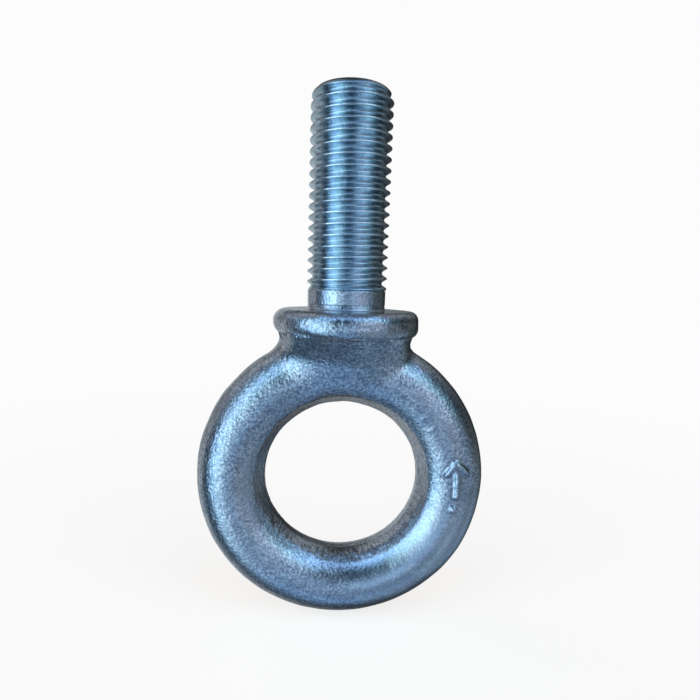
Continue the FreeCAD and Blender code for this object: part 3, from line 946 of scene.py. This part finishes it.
# Soft lights.  Azimuth 0 is in front (-Y) and +90 is +X; a sharper light is smaller.
# elevation, sharpness, then (azimuth, red, green, blue) of each light in the row
LIGHT_ROWS = [
    (-62, 20.0, [
        (-144, 0.19, 0.21, 0.23), (-72, 0.02, 0.04, 0.07), (0, 0.20, 0.36, 0.61),
        (72, 0.13, 0.19, 0.27)]),
    (-36, 20.0, [
        (-165, 0.25, 0.28, 0.30), (-135, 0.31, 0.34, 0.37), (-105, 0.06, 0.13, 0.19),
        (-75, 0.03, 0.05, 0.10), (-45, 0.42, 0.71, 0.97), (-15, 0.12, 0.20, 0.36),
        (45, 0.23, 0.34, 0.47), (75, 0.03, 0.03, 0.03), (105, 0.19, 0.31, 0.44),
        (165, 0.13, 0.14, 0.15)]),
    (-12, 20.0, [
        (-171, 0.25, 0.28, 0.30), (-153, 0.19, 0.21, 0.23), (-117, 0.35, 0.39, 0.42),
        (-63, 0.28, 0.56, 0.86), (-45, 0.49, 0.80, 0.98), (-27, 0.41, 0.45, 0.47),
        (-9, 0.28, 0.55, 0.89), (9, 0.23, 0.31, 0.45), (27, 0.08, 0.09, 0.08),
        (63, 0.10, 0.20, 0.32), (81, 0.12, 0.13, 0.13), (117, 0.09, 0.11, 0.11)]),
    (10, 20.0, [
        (-172, 0.25, 0.28, 0.30), (-155, 0.25, 0.28, 0.30), (-106, 0.16, 0.17, 0.19),
        (-74, 0.08, 0.13, 0.24), (-57, 0.45, 0.58, 0.96), (-41, 0.38, 0.70, 0.65),
        (-25, 0.09, 0.16, 0.30), (25, 0.16, 0.31, 0.52), (41, 0.40, 0.41, 0.53)]),
    (32, 20.0, [
        (-124, 0.20, 0.23, 0.24), (-101, 0.20, 0.19, 0.30), (-79, 0.27, 0.50, 0.50),
        (-56, 0.32, 0.62, 1.01), (34, 0.17, 0.24, 0.25), (56, 0.41, 0.79, 1.02),
        (146, 0.13, 0.14, 0.15)]),
    (56, 20.0, [
        (-120, 0.30, 0.33, 0.36), (-80, 0.11, 0.10, 0.11), (-40, 0.51, 0.95, 1.62),
        (40, 0.54, 0.96, 1.69), (80, 0.09, 0.16, 0.30), (120, 0.25, 0.28, 0.30)]),
    (35, 12.0, [(125, 0.10, 0.12, 0.14)]),
]
# A tall dark card at -X keeps a crisp dark line along that limb of the ring, and the
# dark of the camera stands in front: azimuth, elevation, sharpness, share of light taken
DARK_CARDS = [
    (-86, -42, 40.0, 0.80), (-86, -20, 40.0, 0.80), (-86, 2, 40.0, 0.80),
    (-86, 24, 40.0, 0.80), (-86, 46, 40.0, 0.75),
    (-7, -24, 35.0, 0.45), (-7, -2, 35.0, 0.50), (-7, 20, 35.0, 0.50), (-7, 42, 35.0, 0.40)]


def floor_share(elevation, sharpness):
    """Irradiance over pi that a light of strength 1 gives a level floor."""
    up = math.sin(math.radians(elevation))
    spread = 1.0 / math.sqrt(sharpness)
    if up > spread:
        facing = up
    elif up > -spread:
        facing = (up + spread) ** 2 / (4 * spread)   # partly below the horizon
    else:
        facing = 0
    return 2.0 / sharpness * facing


def light_on_floor():
    total = np.array(BASE_LIGHT)
    for elevation, sharpness, lights in LIGHT_ROWS:
        for _, *colour in lights:
            total += np.array(colour) * floor_share(elevation, sharpness)
    return total


FLOOR_LIGHT = light_on_floor()
# the share of the paper's brightness that the object can shade
FLOOR_LIT = float(min(0.26, 0.78 * FLOOR_LIGHT.min()))
FLOOR_PAPER = np.minimum(0.8, FLOOR_LIT / FLOOR_LIGHT)
FLOOR_GAP = 0.0002                               # metres below the product
FLOOR_RADII = [0.03, 0.08, 0.16, 0.3, 0.6, 1.2, 2.4]
FLOOR_STEPS = 96


def build_floor():
    """A level disc of rings just below the eye."""
    floor_z = float(cad_lo.z) - FLOOR_GAP
    vertices = [(0, 0, floor_z)]
    for radius in FLOOR_RADII:
        for i in range(FLOOR_STEPS):
            angle = 2 * math.pi * i / FLOOR_STEPS
            vertices.append((radius * math.cos(angle), radius * math.sin(angle), floor_z))
    faces = []
    for i in range(FLOOR_STEPS):
        beyond = (i + 1) % FLOOR_STEPS
        faces.append((0, 1 + i, 1 + beyond))
        for ring in range(len(FLOOR_RADII) - 1):
            inner = 1 + ring * FLOOR_STEPS
            outer = inner + FLOOR_STEPS
            faces.append((inner + i, outer + i, outer + beyond, inner + beyond))
    mesh = bpy.data.meshes.new("floor")
    mesh.from_pydata(vertices, [], faces)
    floor = bpy.data.objects.new("floor", mesh)
    scene.collection.objects.link(floor)
    mesh.materials.append(pale_floor())


def pale_floor():
    """Matte paper that fades into the backdrop and is seen only by the camera."""
    material = bpy.data.materials.new("pale_floor")
    s = Shader(material)
    place = s.add("NewGeometry").outputs["Position"]
    from_origin = s.add("VectorMath", {0: place}, operation="LENGTH").outputs["Value"]
    away = s.add("MapRange", {"Value": from_origin, "From Min": 0.10, "From Max": 0.42},
                 interpolation_type="SMOOTHSTEP").outputs["Result"]
    # a faint fibre, lit by the studio, plus enough glow to read as near white
    fibre = s.noise(place, scale=900.0, detail=3.0, roughness=0.6)
    paper = s.mix(fibre, a=FLOOR_PAPER * 0.96, b=FLOOR_PAPER * 1.04)
    lit = s.shader("BsdfDiffuse", Color=paper)
    glow = s.shader("Emission", Color=(1.0, 1.0, 1.0), Strength=BACKDROP[0] - FLOOR_LIT)
    near = s.shader("AddShader", lit, glow)
    far = s.shader("Emission", Color=BACKDROP, Strength=1.0)
    seen = s.shader("MixShader", away, near, far)
    # reflections look past the paper, so the underside of the ring stays lit
    unseen = s.shader("BsdfTransparent")
    by_camera = s.add("LightPath").outputs["Is Camera Ray"]
    s.add("OutputMaterial", {0: s.shader("MixShader", by_camera, unseen, seen)})
    return material


def toward(azimuth, elevation):
    a, e = math.radians(azimuth), math.radians(elevation)
    return (math.sin(a) * math.cos(e), -math.cos(a) * math.cos(e), math.sin(e))


def build_world():
    """The backdrop for the camera; soft lights and dark cards for everything else."""
    world = bpy.data.worlds.new("studio")
    scene.world = world
    s = Shader(world)
    direction = s.add("TexCoord").outputs["Generated"]

    def falloff(azimuth, elevation, sharpness):
        """1 towards the given direction, fading round it."""
        aligned = s.add("VectorMath", {0: direction, 1: toward(azimuth, elevation)},
                        operation="DOT_PRODUCT").outputs["Value"]
        spread = s.math("MULTIPLY", s.math("SUBTRACT", aligned, 1.0), sharpness)
        return s.math("EXPONENT", spread)

    def scaled(vector, scale):
        return s.add("VectorMath", {0: vector, "Scale": scale}, operation="SCALE").outputs[0]

    def added(a, b):
        return s.add("VectorMath", {0: a, 1: b}, operation="ADD").outputs[0]

    total = None
    for elevation, sharpness, lights in LIGHT_ROWS:
        for azimuth, *colour in lights:
            light = scaled(colour, falloff(azimuth, elevation, sharpness))
            total = added(light, BASE_LIGHT) if total is None else added(total, light)
    for azimuth, elevation, sharpness, taken in DARK_CARDS:
        shade = s.math("MULTIPLY", falloff(azimuth, elevation, sharpness), taken)
        total = scaled(total, s.math("SUBTRACT", 1.0, shade))

    lights = s.shader("Background", Color=total, Strength=1.0)
    backdrop = s.shader("Background", Color=BACKDROP, Strength=1.0)
    by_camera = s.add("LightPath").outputs["Is Camera Ray"]
    s.add("OutputWorld", {0: s.shader("MixShader", by_camera, lights, backdrop)})


# ------------------------------------------------------------------------------ camera
CAMERA_TURN = np.radians([8.29, 2.76, -1.71])    # rotation vector, from a level front view
ORIGIN_SEEN = np.array([-1.1, 14.7, -147.8])     # the bolt's origin in camera axes, mm
FRONT_VIEW = np.array([[1, 0, 0], [0, 0, 1], [0, -1, 0]], float)    # world to camera axes


def build_camera():
    data = bpy.data.cameras.new("camera")
    camera = bpy.data.objects.new("camera", data)
    scene.collection.objects.link(camera)
    scene.camera = camera
    data.sensor_width = 36.0
    data.lens = 27.462857
    data.shift_y = 0.017857143
    data.clip_start = 0.005
    data.clip_end = 20.0
    angle = float(np.linalg.norm(CAMERA_TURN))
    turn = np.array(Matrix.Rotation(angle, 3, Vector(CAMERA_TURN / angle)))
    to_world = (turn @ FRONT_VIEW).T
    place = -to_world @ ORIGIN_SEEN * MM
    camera.matrix_world = Matrix.Translation(Vector(place)) @ Matrix(to_world.tolist()).to_4x4()


build_floor()
build_world()
build_camera()
scene.view_settings.view_transform = "Standard"
scene.view_settings.look = "None"
